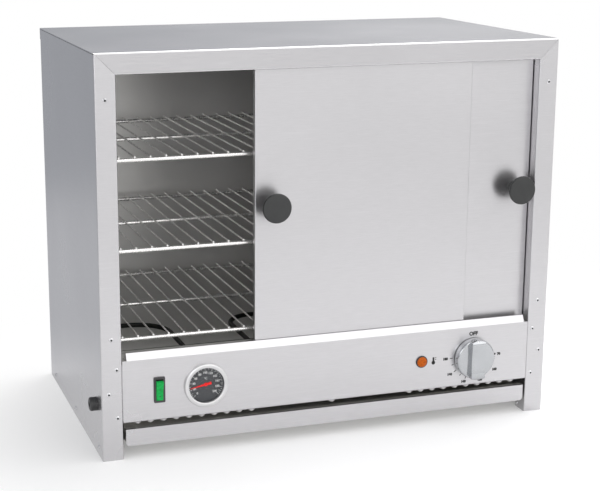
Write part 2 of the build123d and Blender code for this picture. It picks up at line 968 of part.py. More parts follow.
def crumb_tray():
    """Pull-out tray with its front face flush with the cabinet."""
    front_half = opening_half - tray_side_gap
    pan_half = front_half - tray_wall_inset
    back = cabinet_depth - tray_back_gap
    x = (-front_half, front_half)
    front = block(x, (0, sheet), (tray_bottom, tray_top))
    low_corners = front.edges().filter_by(Axis.Y).group_by(Axis.Z)[0]
    front = fillet(low_corners, tray_corner)
    hem = block(x, (tray_hem_front, tray_hem), (tray_top - tray_sheet, tray_top))
    lip = block(x, (tray_hem - tray_sheet, tray_hem), (tray_top - tray_hem_drop, tray_top))
    pan = block((-pan_half, pan_half), (sheet - 0.1, back), (tray_bottom, tray_wall_top))
    inside = block(
        (-pan_half + tray_sheet, pan_half - tray_sheet),
        (sheet, back - tray_sheet),
        (tray_bottom + tray_sheet, tray_wall_top + 1),
    )
    return front + hem + lip + (pan - inside)


def tray_runners():
    """Angles riveted to the side walls that carry the crumb tray."""
    top = tray_bottom - door_rest_gap
    wall_depth = (runner_wall_front, rest_back)
    wall = block((-inner_half, -inner_half + sheet), wall_depth, (top - runner_height, top))
    shelf = block((-inner_half, -inner_half + runner_reach), (runner_front, rest_back), (top - sheet, top))
    runner = wall + shelf
    for hole in side_rivet_holes():
        runner = runner - hole
    return with_twins([runner])


def rocker_housing():
    """Bezel and body of the mains switch."""
    z = control_height

    def slab(width, height, depth):
        return block((rocker_x - width / 2, rocker_x + width / 2), depth, (z - height / 2, z + height / 2))

    bezel = slab(rocker_bezel_width, rocker_bezel_height, (-rocker_bezel_thickness, 0))
    bezel = fillet(bezel.edges().filter_by(Axis.Y), rocker_bezel_corner)
    bezel = fillet(bezel.edges().group_by(Axis.Y)[0], rocker_bezel_edge)
    body = slab(rocker_body_width, rocker_body_height, (-0.1, rocker_body_depth))
    housing = bezel + body
    housing = housing - slab(rocker_cavity_width, rocker_bezel_opening, (-rocker_bezel_thickness - 1, 0))
    housing = housing - slab(rocker_cavity_width, rocker_cavity_height, (-1, rocker_cavity_depth))
    pivot = round_along_x(
        (rocker_x - rocker_body_width / 2 - 1, rocker_x + rocker_body_width / 2 + 1),
        rocker_pivot_depth,
        z,
        rocker_pin_radius + clearance,
    )
    return housing - pivot


def rocker():
    """See-saw key with its pivot pins, pressed in at the bottom, which is its ON side."""
    profile = (
        (-rocker_end, rocker_half),
        (-rocker_middle, 0),
        (-rocker_end, -rocker_half),
        (-rocker_skirt, -rocker_half),
        (rocker_back, -rocker_back_half),
        (rocker_back, rocker_back_half),
        (-rocker_skirt, rocker_half),
    )
    key = extrude(Plane.YZ * Polygon(*profile, align=None), amount=rocker_width / 2, both=True)
    pins = Rot(0, 90, 0) * Cylinder(rocker_pin_radius, rocker_body_width - 2 * clearance)
    return Pos(*at(rocker_x, rocker_pivot_depth, control_height)) * Rot(rocker_tilt, 0, 0) * (key + pins)


def rocker_terminals():
    """Three spade tabs at the back of the switch."""
    x = (rocker_x - spade_thickness / 2, rocker_x + spade_thickness / 2)
    depth = (rocker_body_depth, rocker_body_depth + spade_length)
    heights = [control_height + row * rocker_spade_pitch for row in (-1, 0, 1)]
    return apart(block(x, depth, (z - spade_width / 2, z + spade_width / 2)) for z in heights)


def thermometer_bezel():
    """Rolled ring that holds the glass."""
    outline = (
        (dial_bezel_radius, 0),
        (dial_bezel_radius, -dial_bezel_height + 1.6),
        (dial_bezel_radius - 0.6, -dial_bezel_height + 0.5),
        (dial_bezel_radius - 1.8, -dial_bezel_height),
        (dial_window_radius + 1.0, -dial_bezel_height),
        (dial_window_radius, -dial_bezel_height + 0.6),
        (dial_window_radius, dial_glass_front),
        (dial_glass_radius + clearance, dial_glass_front),
        (dial_glass_radius + clearance, 0),
    )
    return turned_on_depth(outline, thermometer_x, control_height)


def thermometer_glass():
    depth = (dial_glass_front, dial_glass_front + dial_glass)
    return round_along_depth(thermometer_x, control_height, depth, dial_glass_radius)


def thermometer_dial():
    plate = round_along_depth(thermometer_x, control_height, (dial_face, dial_seat_depth), dial_plate_radius)
    through = (dial_face - 1, dial_seat_depth + 1)
    return plate - round_along_depth(thermometer_x, control_height, through, spindle_radius + clearance)


def thermometer_needle():
    """Wedge-shaped pointer with its hub and spindle, at the reading shown."""
    wedge = Polygon(
        (-needle_tail, needle_tail_width / 2),
        (-needle_tail, -needle_tail_width / 2),
        (needle_length, -needle_tip_width / 2),
        (needle_length, needle_tip_width / 2),
        align=None,
    )
    pointer = extrude(Plane.XZ * wedge, amount=needle_thickness, dir=(0, -1, 0))
    hub = Rot(90, 0, 0) * Cylinder(needle_hub_radius, needle_thickness + needle_hub_rise)
    spindle = Rot(90, 0, 0) * Cylinder(spindle_radius, spindle_length)
    middle = Pos(0, -needle_thickness / 2, 0)
    needle = pointer + middle * hub + middle * Pos(0, spindle_length / 2, 0) * spindle
    turn = dial_sweep * dial_reading / dial_full_scale - dial_zero_angle
    return Pos(*at(thermometer_x, dial_face - needle_lift, control_height)) * Rot(0, turn, 0) * needle


def thermometer_case():
    """Cup behind the dial, with a step near its rim that the dial plate lies on."""
    inner_radius = dial_case_radius - dial_case_wall
    outer = round_along_depth(thermometer_x, control_height, (0, dial_case_depth), dial_case_radius)
    mouth = round_along_depth(thermometer_x, control_height, (-1, dial_seat_depth), inner_radius)
    cup = round_along_depth(
        thermometer_x, control_height, (0, dial_case_depth - dial_case_wall), inner_radius - dial_seat_width
    )
    return outer - mouth - cup


def pilot_lamp_body():
    rim = (
        (lamp_lens_radius, 0),
        (lamp_rim_radius, 0),
        (lamp_rim_radius, -lamp_rim_height + 0.5),
        (lamp_rim_radius - 0.5, -lamp_rim_height),
        (lamp_lens_radius + clearance, -lamp_rim_height),
        (lamp_lens_radius + clearance, -lamp_lens_seat),
        (0, -lamp_lens_seat),
        (0, lamp_body_depth),
        (lamp_body_radius, lamp_body_depth),
        (lamp_body_radius, 0),
    )
    return turned_on_depth(rim, lamp_x, control_height)


def pilot_lamp_lens():
    """Domed lens."""
    base = -lamp_lens_seat
    edge = -lamp_rim_height - lamp_lens_rise
    crown = edge - lamp_dome
    shoulder = (lamp_lens_radius * 0.6, edge - lamp_dome * 0.72)
    outline = (
        Line((0, base), (lamp_lens_radius, base)),
        Line((lamp_lens_radius, base), (lamp_lens_radius, edge)),
        ThreePointArc((lamp_lens_radius, edge), shoulder, (crown_flat, crown)),
        Line((crown_flat, crown), (0, crown)),
        Line((0, crown), (0, base)),
    )
    return turned_from(outline, lamp_x, control_height)


def thermostat_body():
    """Switch block behind the panel with the sleeve that the shaft turns in."""
    half = (thermostat_width / 2, thermostat_body_height / 2)
    body = block(
        (thermostat_x - half[0], thermostat_x + half[0]),
        (sheet, sheet + thermostat_body_depth),
        (thermostat_height - half[1], thermostat_height + half[1]),
    )
    body = fillet(body.edges().filter_by(Axis.Y), thermostat_corner)
    sleeve = (-bush_sleeve_length, sheet + 0.1)
    bore = (-bush_sleeve_length - 1, shaft_root + shaft_end_gap)
    body = body + round_along_depth(thermostat_x, thermostat_height, sleeve, bush_sleeve_radius)
    body = body - round_along_depth(thermostat_x, thermostat_height, bore, shaft_radius + clearance)
    for x in thermostat_screw_places():
        screw_run = (0, thermostat_screw_length + 1)
        body = body - round_along_depth(x, thermostat_height, screw_run, rivet_hole_radius)
    return body


def thermostat_screws():
    screws = []
    for x in thermostat_screw_places():
        head_run = (-thermostat_screw_head, 0)
        head = round_along_depth(x, thermostat_height, head_run, thermostat_screw_head_radius)
        shank = round_along_depth(x, thermostat_height, (-0.1, thermostat_screw_length), rivet_shank_radius)
        screws.append(head + shank)
    return apart(screws)


def shaft_form(depth, room):
    """Round shaft with a flat along its outer end, or the bore that fits over it with some room."""
    shaft = round_along_depth(thermostat_x, thermostat_height, depth, shaft_radius + room)
    flat = block(
        (thermostat_x - shaft_radius - 1, thermostat_x + shaft_radius + 1),
        (-shaft_reach - 1, -shaft_reach + shaft_flat_length),
        (thermostat_height + shaft_flat + room, thermostat_height + shaft_radius + 1),
    )
    return shaft - flat


def thermostat_shaft():
    return shaft_form((-shaft_reach, shaft_root), 0)


def knob_grip():
    """Broad grip bar across the knob, rounded at its ends and slightly hollowed along its face."""
    grip = block(
        (thermostat_x - grip_width / 2, thermostat_x + grip_width / 2),
        (grip_face, knob_face + dial_knob_wall),
        (thermostat_height - dial_knob_radius, thermostat_height + dial_knob_radius),
    )
    grip = fillet(grip.edges().filter_by(Axis.X).group_by(Axis.Y)[0], grip_end_round)
    reach = dial_knob_radius - grip_rim_gap
    grip = grip & round_along_depth(
        thermostat_x, thermostat_height, (grip_face - 1, knob_face + dial_knob_wall), reach
    )
    scoop_depth = grip_face + grip_scoop - grip_scoop_radius
    scoop_x = (thermostat_x - grip_width, thermostat_x + grip_width)
    grip = grip - round_along_x(scoop_x, scoop_depth, thermostat_height, grip_scoop_radius)
    upright_edges = grip.edges().filter_by(Axis.Y)
    side_edges = [edge for face in grip.faces().filter_by(Axis.X) for edge in face.edges()]
    above_foot = [edge for edge in side_edges if edge.center().Y < front_y + knob_face]
    long_edges = [edge for edge in above_foot if not any(edge.is_same(upright) for upright in upright_edges)]
    return fillet(long_edges, grip_edge_round)


def thermostat_knob():
    """Round knob with a raised grip bar, hollow underneath round its hub."""
    back = -dial_knob_gap
    skirt = round_along_depth(thermostat_x, thermostat_height, (knob_face, back), dial_knob_radius)
    skirt = fillet(skirt.edges().group_by(Axis.Y)[0], dial_knob_rim)
    hollow_depth = (knob_face + dial_knob_wall, back + 1)
    hollow_radius = dial_knob_radius - dial_knob_wall
    hollow = round_along_depth(thermostat_x, thermostat_height, hollow_depth, hollow_radius)
    hollow = hollow - round_along_depth(thermostat_x, thermostat_height, hollow_depth, dial_knob_hub)
    sleeve_run = (-bush_sleeve_length - bush_room, 0)
    sleeve_room = round_along_depth(
        thermostat_x, thermostat_height, sleeve_run, bush_sleeve_radius + bush_room
    )
    bore = shaft_form((-shaft_reach - shaft_end_gap, 0), clearance)
    return skirt + knob_grip() - hollow - bore - sleeve_room


def bulb(height):
    body = round_along_depth(bulb_x, height, (bulb_front, bulb_front + bulb_length), bulb_radius)
    return fillet(body.edges().filter_by(GeomType.CIRCLE), bulb_end_round)


def capillary(start, height, lane):
    """Thin tube from an instrument to its bulb, through the grommet."""
    lane_depth = capillary_lane_depth + lane
    lane_height = grommet_height + lane
    route = (
        start,
        (start[0], start[1] + capillary_lead, start[2]),
        at(start[0] + capillary_side_step, lane_depth, lane_height),
        at(grommet_x + lane, lane_depth, lane_height),
        at(grommet_x + lane, cover_back + capillary_exit, lane_height),
        at(bulb_x, bulb_front - capillary_lead, height),
        at(bulb_x, bulb_front, height),
    )
    return tube(route, capillary_radius, capillary_bend)


def thermostat_capillary():
    across, up = capillary_from_thermostat
    start = at(thermostat_x + across, sheet + thermostat_body_depth, thermostat_height + up)
    return capillary(start, thermostat_bulb_height, capillary_lanes[0])


def thermometer_capillary():
    start = at(thermometer_x, dial_case_depth, control_height + capillary_from_dial)
    return capillary(start, thermometer_bulb_height, capillary_lanes[1])


def bulb_clips():
    """Spring clips that hold the two bulbs on the wall."""
    clips = []
    for height in (thermostat_bulb_height, thermometer_bulb_height):
        for middle in (bulb_front + clip_from_end, bulb_front + bulb_length - clip_from_end):
            clips.append(bulb_clip(middle, height))
    return apart(clips)


def bulb_clip(middle, height):
    """Open ring on a foot against the side wall."""
    depth = (middle - clip_width / 2, middle + clip_width / 2)
    past = (depth[0] - 1, depth[1] + 1)
    ring_radius = bulb_radius + clearance + clip_wall
    ring = round_along_depth(bulb_x, height, depth, ring_radius)
    foot = block((bulb_x, inner_half), depth, (height - clip_foot_width / 2, height + clip_foot_width / 2))
    bore = round_along_depth(bulb_x, height, past, bulb_radius + clearance)
    mouth_x = (bulb_x - ring_radius - 1, bulb_x - bulb_radius / 2)
    mouth = block(mouth_x, past, (height - clip_mouth / 2, height + clip_mouth / 2))
    return ring + foot - bore - mouth


def capillary_grommet():
    """Rubber ring in the cover's rear wall."""
    wall = (cover_back - sheet, cover_back)
    length = (wall[0] - grommet_lip, wall[1] + grommet_lip)
    outer = round_along_depth(grommet_x, grommet_height, length, grommet_radius)
    groove = round_along_depth(grommet_x, grommet_height, wall, grommet_radius + 1)
    groove = groove - round_along_depth(grommet_x, grommet_height, wall, grommet_radius - grommet_groove)
    bore = round_along_depth(grommet_x, grommet_height, (length[0] - 1, length[1] + 1), grommet_bore)
    return outer - groove - bore


def cord_gland():
    """Moulded bush in the left side, with a clear hole where the mains cord would enter."""
    z = gland_height
    tip = -half_width - gland_reach
    inner_end = -inner_half + gland_inner
    head = round_along_x((tip, -half_width), gland_depth, z, gland_radius)
    head = fillet(head.edges().group_by(Axis.X)[0], gland_round)
    body = round_along_x((-half_width - 0.1, inner_end), gland_depth, z, gland_thread_radius)
    nut = round_along_x((-inner_half, -inner_half + gland_nut), gland_depth, z, gland_radius)
    bore = round_along_x((tip - 1, inner_end + 1), gland_depth, z, gland_bore)
    return head + body + nut - bore


def terminal_block():
    """Mains connector block with its clamp screws, on the floor of the compartment."""
    floor = cover_floor + sheet
    top = floor + block_height
    middle = -half_width + block_from_side
    back = cover_back - sheet - block_back_gap
    front = back - block_width
    centre = (front + back) / 2
    body = block((middle - block_length / 2, middle + block_length / 2), (front, back), (floor, top))
    well = (top - block_well_depth, top + 1)
    screw = (top - block_well_depth - 0.5, top - block_screw_depth)
    for way in range(block_ways):
        x = middle + (way - (block_ways - 1) / 2) * block_length / block_ways
        body = body - round_along_z(x, centre, well, block_screw_well)
        body = body + round_along_z(x, centre, screw, block_screw_radius)
        body = body - round_along_depth(x, floor + block_wire_height, (front - 1, centre), block_wire_radius)
    return body


def earth_stud():
    """Stud and nut on the floor of the compartment."""
    floor = cover_floor + sheet
    x = -half_width + stud_from_side
    stud = round_along_z(x, stud_depth, (floor, floor + stud_length), stud_radius)
    nut = extrude(RegularPolygon(stud_nut_radius, 6), amount=stud_nut_height, dir=(0, 0, 1))
    return stud + Pos(*at(x, stud_depth, floor)) * nut


def moved_to_origin(shape):
    """Shift so that the origin is under the middle of the whole footprint."""
    left = half_width + gland_reach
    right = half_width + rivet_head_height
    forward = max(knob_length - front_door_depth, -grip_face)
    behind = back_screw_head_height
    return Pos((left - right) / 2, (forward - behind) / 2, 0) * shape


nodes = {
    "left_side_panel": left_side_panel,
    "right_side_panel": right_side_panel,
    "top_cover": top_cover,
    "back_panel": back_panel,
    "back_screws": back_screws,
    "control_panel": control_panel,
    "wiring_cover": wiring_cover,
    "lower_door_track": lower_door_track,
    "upper_door_track": upper_door_track,
    "rack_rests": rack_rests,
    "front_uprights": front_uprights,
    "rack_lower": lambda: rack(rack_levels[0]),
    "rack_middle": lambda: rack(rack_levels[1]),
    "rack_upper": lambda: rack(rack_levels[2]),
    "tray_runners": tray_runners,
    "crumb_tray": crumb_tray,
    "heating_element": heating_element,
    "element_bushes": element_bushes,
    "element_terminals": element_terminals,
    "element_support": element_support,
    "front_door": front_door,
    "front_door_knob": lambda: door_knob(front_knob_x, front_door_depth),
    "front_knob_screw": lambda: knob_screw(front_knob_x, front_door_depth),
    "rear_door": rear_door,
    "rear_door_knob": lambda: door_knob(rear_knob_x, rear_door_depth),
    "rear_knob_screw": lambda: knob_screw(rear_knob_x, rear_door_depth),
    "rocker_housing": rocker_housing,
    "rocker": rocker,
    "rocker_terminals": rocker_terminals,
    "thermometer_bezel": thermometer_bezel,
    "thermometer_glass": thermometer_glass,
    "thermometer_dial": thermometer_dial,
    "thermometer_needle": thermometer_needle,
    "thermometer_case": thermometer_case,
    "thermometer_capillary": thermometer_capillary,
    "thermometer_bulb": lambda: bulb(thermometer_bulb_height),
    "pilot_lamp_body": pilot_lamp_body,
    "pilot_lamp_lens": pilot_lamp_lens,
    "thermostat_body": thermostat_body,
    "thermostat_screws": thermostat_screws,
    "thermostat_shaft": thermostat_shaft,
    "thermostat_knob": thermostat_knob,
    "thermostat_capillary": thermostat_capillary,
    "thermostat_bulb": lambda: bulb(thermostat_bulb_height),
    "bulb_clips": bulb_clips,
    "capillary_grommet": capillary_grommet,
    "cord_gland": cord_gland,
    "terminal_block": terminal_block,
    "earth_stud": earth_stud,
    "stile_rivets": stile_rivets,
    "side_rivets": side_rivets,
    "foot_rivets": foot_rivets,
}

os.makedirs("parts", exist_ok=True)
for name, make in nodes.items():
    export_step(moved_to_origin(make()), f"parts/{name}.step")
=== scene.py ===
import bmesh
import bpy
import math
from mathutils import Matrix, Vector


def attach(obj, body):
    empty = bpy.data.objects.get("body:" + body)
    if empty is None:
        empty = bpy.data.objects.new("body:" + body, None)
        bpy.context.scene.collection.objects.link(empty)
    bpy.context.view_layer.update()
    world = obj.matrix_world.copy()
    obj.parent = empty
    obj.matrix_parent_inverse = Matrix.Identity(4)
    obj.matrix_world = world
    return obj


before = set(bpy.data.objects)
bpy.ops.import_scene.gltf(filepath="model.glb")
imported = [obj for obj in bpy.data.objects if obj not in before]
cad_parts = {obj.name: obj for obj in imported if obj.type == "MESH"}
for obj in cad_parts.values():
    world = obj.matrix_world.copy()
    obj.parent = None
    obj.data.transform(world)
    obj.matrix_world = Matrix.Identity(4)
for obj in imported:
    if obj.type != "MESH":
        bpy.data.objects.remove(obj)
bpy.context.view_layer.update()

# The frame's origin is under the middle of the whole footprint. Places below are counted as in the
# workshop drawing: x from the middle of the cabinet, depth from its front face, z from the table.
shift_x = 0.0036
shift_y = 0.00905
front_y = -0.1765 + shift_y
back_y = front_y + 0.353
half_width = 300.0


def spot(x, depth, z):
    """Point given in millimetres from the cabinet's middle, front face and base."""
    return Vector((x / 1000 + shift_x, front_y + depth / 1000, z / 1000))


# Camera at the photograph's viewing angle
camera_down = 13.318
camera_turn = -17.99
camera_data = bpy.data.cameras.new("camera")
camera_data.lens = 85.13
camera_data.sensor_width = 36
camera_data.shift_x = 0.0829
camera_data.shift_y = -0.0126
camera = bpy.data.objects.new("camera", camera_data)
camera.location = (-0.63004 + shift_x, -1.77345 + shift_y, 0.66457)
camera.rotation_euler = (math.radians(90 - camera_down), 0, math.radians(camera_turn))
bpy.context.scene.collection.objects.link(camera)
bpy.context.scene.camera = camera
bpy.context.scene.view_settings.view_transform = "Standard"


# Shader helpers
fine_relief = 0.0001
facet_relief = 0.0004
edge_blur = 0.0002


def link(tree, a, b):
    tree.links.new(a, b)


def node(tree, kind, **values):
    made = tree.nodes.new(kind)
    for name, value in values.items():
        setattr(made, name, value)
    return made


def set_inputs(made, **values):
    """Fill the named sockets, with underscores for spaces."""
    for name, value in values.items():
        made.inputs[name.replace("_", " ")].default_value = value
    return made


def new_group(name, inputs, outputs):
    group = bpy.data.node_groups.new(name, "ShaderNodeTree")
    for label, kind, value in inputs:
        socket = group.interface.new_socket(label, in_out="INPUT", socket_type=kind)
        socket.default_value = value
    for label in outputs:
        group.interface.new_socket(label, in_out="OUTPUT", socket_type="NodeSocketFloat")
    return group, group.nodes.new("NodeGroupInput"), group.nodes.new("NodeGroupOutput")


def noise_mask(tree, place, scale, detail, low=0.3, high=0.7, roughness=0.5):
    """Noise stretched to the full range from 0 to 1. The scale is a number or another socket."""
    noise = node(tree, "ShaderNodeTexNoise", noise_dimensions="3D")
    set_inputs(noise, Detail=detail, Roughness=roughness)
    link(tree, place, noise.inputs["Vector"])
    if isinstance(scale, float):
        noise.inputs["Scale"].default_value = scale
    else:
        link(tree, scale, noise.inputs["Scale"])
    level = set_inputs(node(tree, "ShaderNodeMapRange"), From_Min=low, From_Max=high)
    link(tree, noise.outputs["Fac"], level.inputs["Value"])
    return level.outputs["Result"]


def make_brushed_grain():
    """Short fine scratches, a few longer ones and large faint clouds.

    Grain is how often the scratches repeat along each axis in a metre.
    """
    group, given, out = new_group(
        "brushed_grain",
        [("Grain", "NodeSocketVector", (60, 60, 900)), ("Cloud Size", "NodeSocketFloat", 5.0)],
        ["Scratches", "Long Scratches", "Clouds"],
    )
    place = node(group, "ShaderNodeTexCoord")
    stretched = node(group, "ShaderNodeVectorMath", operation="MULTIPLY")
    link(group, place.outputs["Object"], stretched.inputs[0])
    link(group, given.outputs["Grain"], stretched.inputs[1])
    fine = noise_mask(group, stretched.outputs[0], 1.0, 3.0, roughness=0.7)
    longer = node(group, "ShaderNodeVectorMath", operation="MULTIPLY")
    longer.inputs[1].default_value = (0.22, 0.22, 0.5)
    link(group, stretched.outputs[0], longer.inputs[0])
    rare = noise_mask(group, longer.outputs[0], 1.0, 2.0, low=0.6, high=0.78)
    link(group, fine, out.inputs["Scratches"])
    link(group, rare, out.inputs["Long Scratches"])
    clouds = noise_mask(group, place.outputs["Object"], given.outputs["Cloud Size"], 3.0)
    link(group, clouds, out.inputs["Clouds"])
    return group


def make_fine_speckle():
    """Small pits and tone changes for moulded, plated and painted parts."""
    group, given, out = new_group(
        "fine_speckle",
        [("Speckle Size", "NodeSocketFloat", 900.0), ("Patch Size", "NodeSocketFloat", 40.0)],
        ["Speckle", "Patches"],
    )
    place = node(group, "ShaderNodeTexCoord")
    for label, size, detail in (("Speckle", "Speckle Size", 2.0), ("Patches", "Patch Size", 4.0)):
        mask = noise_mask(group, place.outputs["Object"], given.outputs[size], detail)
        link(group, mask, out.inputs[label])
    return group


brushed_grain = make_brushed_grain()
fine_speckle = make_fine_speckle()


def shader(name):
    material = bpy.data.materials.new(name)
    material.use_nodes = True
    tree = material.node_tree
    return material, tree, tree.nodes["Principled BSDF"]


def tone_between(tree, mask, dark, light):
    """Colour between two tones, chosen by a mask."""
    mix = node(tree, "ShaderNodeMix", data_type="RGBA")
    mix.inputs[6].default_value = (*dark, 1)
    mix.inputs[7].default_value = (*light, 1)
    link(tree, mask, mix.inputs[0])
    return mix.outputs[2]


def value_between(tree, mask, low, high):
    level = set_inputs(node(tree, "ShaderNodeMapRange"), To_Min=low, To_Max=high)
    link(tree, mask, level.inputs["Value"])
    return level.outputs["Result"]


def bump_from(tree, height, strength, distance):
    bump = set_inputs(node(tree, "ShaderNodeBump"), Strength=strength, Distance=distance)
    link(tree, height, bump.inputs["Height"])
    return bump.outputs["Normal"]


def duller_inside(tree, base, tone, dull_tone, start, way):
    """Brushed tone outside; past a plane the sheet keeps its dull mill finish.

    The plane is square to the way, a direction, and stands at the start, counted along it.
    """
    dull_metal = 0.5
    place = node(tree, "ShaderNodeTexCoord")
    along = node(tree, "ShaderNodeVectorMath", operation="DOT_PRODUCT")
    along.inputs[1].default_value = way
    link(tree, place.outputs["Object"], along.inputs[0])
    past = node(tree, "ShaderNodeMapRange")
    set_inputs(past, From_Min=start - edge_blur, From_Max=start + edge_blur)
    link(tree, along.outputs["Value"], past.inputs["Value"])
    mix = node(tree, "ShaderNodeMix", data_type="RGBA")
    mix.inputs[7].default_value = (*dull_tone, 1)
    link(tree, past.outputs["Result"], mix.inputs[0])
    link(tree, tone, mix.inputs[6])
    link(tree, mix.outputs[2], base.inputs["Base Color"])
    link(tree, value_between(tree, past.outputs["Result"], 1.0, dull_metal), base.inputs["Metallic"])


def brushed_metal(name, tone, spread, grain, rough, bump=0.12, cloud=5.0, metal=1.0, inside=None):
    """Brushed sheet, with the grain level on upright faces and along the width on level faces.

    Inside, where it is given, is a dull tone with the start and the way of duller_inside.
    """
    material, tree, base = shader(name)
    marks = node(tree, "ShaderNodeGroup", node_tree=brushed_grain)
    set_inputs(marks, Grain=grain, Cloud_Size=cloud)
    dark = [part * (1 - spread) for part in tone]
    light = [part * (1 + spread) for part in tone]
    brushed = tone_between(tree, marks.outputs["Scratches"], dark, light)
    bright = node(tree, "ShaderNodeMix", data_type="RGBA")
    bright.inputs[7].default_value = (*[part * (1 + long_scratch_gain * spread) for part in tone], 1)
    link(tree, marks.outputs["Long Scratches"], bright.inputs[0])
    link(tree, brushed, bright.inputs[6])
    if inside:
        duller_inside(tree, base, bright.outputs[2], *inside)
    else:
        link(tree, bright.outputs[2], base.inputs["Base Color"])
        base.inputs["Metallic"].default_value = metal
    link(tree, value_between(tree, marks.outputs["Clouds"], rough[0], rough[1]), base.inputs["Roughness"])
    link(tree, bump_from(tree, marks.outputs["Scratches"], bump, fine_relief), base.inputs["Normal"])
    set_inputs(base, Anisotropic=0.55, Anisotropic_Rotation=0.25)
    surface = node(tree, "ShaderNodeNewGeometry")
    along = node(tree, "ShaderNodeVectorMath", operation="CROSS_PRODUCT")
    along.inputs[1].default_value = nearly_upright
    link(tree, surface.outputs["Normal"], along.inputs[0])
    link(tree, along.outputs[0], base.inputs["Tangent"])
    return material


def speckled(name, dark, light, rough, size=(900.0, 40.0), metal=0.0, bump=0.1, coat=0.0):
    """Moulded, plated or painted surface with fine pits and slow tone changes."""
    material, tree, base = shader(name)
    marks = node(tree, "ShaderNodeGroup", node_tree=fine_speckle)
    set_inputs(marks, Speckle_Size=size[0], Patch_Size=size[1])
    link(tree, tone_between(tree, marks.outputs["Patches"], dark, light), base.inputs["Base Color"])
    link(tree, value_between(tree, marks.outputs["Speckle"], rough[0], rough[1]), base.inputs["Roughness"])
    link(tree, bump_from(tree, marks.outputs["Speckle"], bump, fine_relief), base.inputs["Normal"])
    set_inputs(base, Metallic=metal, Coat_Weight=coat)
    return material


# The grain's second direction is never square to a face, because a zero tangent renders black.
nearly_upright = (0, 0.05, 1)
long_scratch_gain = 1.6
steel = (0.575, 0.567, 0.58)
panel_inner_tone = (0.80, 0.79, 0.78)
tray_inner_tone = (0.46, 0.45, 0.42)
wall_inner_tone = (0.80, 0.79, 0.77)
folded_tone = (0.42, 0.415, 0.40)
side_grain = (60, 60, 900)
front_grain = (60, 900, 900)
folded_grain = (40, 40, 700)
front_rough = (0.27, 0.33)
panel_inside_start = front_y + 0.0014 - 0.044
tray_inside_start = front_y + 0.004
wall_inside_start = 0.0007 - back_y

side_steel = brushed_metal("side_steel", steel, 0.03, side_grain, (0.26, 0.32))
front_steel = brushed_metal("front_steel", steel, 0.03, front_grain, front_rough)
panel_steel = brushed_metal(
    "panel_steel", steel, 0.03, front_grain, front_rough,
    inside=(panel_inner_tone, panel_inside_start, (0, 1, -1)),
)
tray_steel = brushed_metal(
    "tray_steel", steel, 0.03, front_grain, front_rough,
    inside=(tray_inner_tone, tray_inside_start, (0, 1, 0)),
)
roof_steel = brushed_metal("roof_steel", steel, 0.03, front_grain, (0.2, 0.26), bump=0.05)
wall_steel = brushed_metal(
    "wall_steel", steel, 0.05, front_grain, (0.34, 0.4), cloud=9.0,
    inside=(wall_inner_tone, wall_inside_start, (0, -1, 0)),
)
folded_steel = brushed_metal(
    "folded_steel", folded_tone, 0.08, folded_grain, (0.4, 0.5), cloud=14.0, metal=0.4,
)
bezel_steel = speckled("bezel_steel", (0.62, 0.615, 0.62), (0.68, 0.675, 0.68), (0.34, 0.44), metal=0.85)
rivet_steel = speckled("rivet_steel", (0.66, 0.66, 0.67), (0.76, 0.76, 0.77), (0.2, 0.34), metal=1.0)
# Near-black painted shade for the rivet holes; the real mandrel ends are plain steel
rivet_hole_shade = speckled(
    "rivet_hole_shade", (0.012, 0.012, 0.013), (0.03, 0.03, 0.03), (0.6, 0.75), metal=0.3,
)
chrome_wire = speckled(
    "chrome_wire", (0.84, 0.83, 0.81), (0.92, 0.91, 0.89), (0.22, 0.3), metal=0.72, size=(600, 60),
)
element_black = speckled(
    "element_black", (0.012, 0.013, 0.011), (0.03, 0.032, 0.027), (0.42, 0.62), metal=0.3,
)
brass_plain = speckled("brass_plain", (0.60, 0.42, 0.16), (0.72, 0.54, 0.24), (0.25, 0.4), metal=1.0)
copper_plain = speckled("copper_plain", (0.62, 0.28, 0.15), (0.74, 0.38, 0.22), (0.25, 0.4), metal=1.0)
knob_black = speckled(
    "knob_black", (0.021, 0.022, 0.022), (0.032, 0.033, 0.033), (0.42, 0.55), size=(1600, 30),
)
moulded_black = speckled("moulded_black", (0.022, 0.022, 0.023), (0.038, 0.038, 0.039), (0.38, 0.52))
frame_grey = speckled("frame_grey", (0.045, 0.042, 0.045), (0.058, 0.055, 0.058), (0.5, 0.6))
cream_plastic = speckled("cream_plastic", (0.62, 0.58, 0.48), (0.7, 0.66, 0.56), (0.4, 0.55))
rubber_black = speckled("rubber_black", (0.015, 0.015, 0.015), (0.028, 0.028, 0.028), (0.6, 0.75))
dial_grey = speckled(
    "dial_grey", (0.052, 0.055, 0.060), (0.064, 0.067, 0.073), (0.45, 0.55), size=(1400, 50),
)
needle_red = speckled("needle_red", (0.90, 0.004, 0.003), (0.98, 0.006, 0.004), (0.5, 0.6))
silver_plastic = speckled(
    "silver_plastic", (0.44, 0.45, 0.465), (0.48, 0.49, 0.505), (0.14, 0.2), metal=0.95, bump=0.04,
)
print_black = speckled("print_black", (0.008, 0.008, 0.008), (0.016, 0.016, 0.016), (0.4, 0.5))
print_grey = speckled("print_grey", (0.22, 0.22, 0.22), (0.28, 0.28, 0.28), (0.4, 0.5))
dial_white = speckled("dial_white", (0.68, 0.68, 0.68), (0.76, 0.76, 0.76), (0.4, 0.5))


def clear_glass():
    material, tree, base = shader("clear_glass")
    marks = node(tree, "ShaderNodeGroup", node_tree=fine_speckle)
    link(tree, value_between(tree, marks.outputs["Patches"], 0.0, 0.03), base.inputs["Roughness"])
    set_inputs(base, Base_Color=(0.97, 0.98, 0.98, 1), Transmission_Weight=1.0, IOR=1.45, Alpha=0.12)
    return material


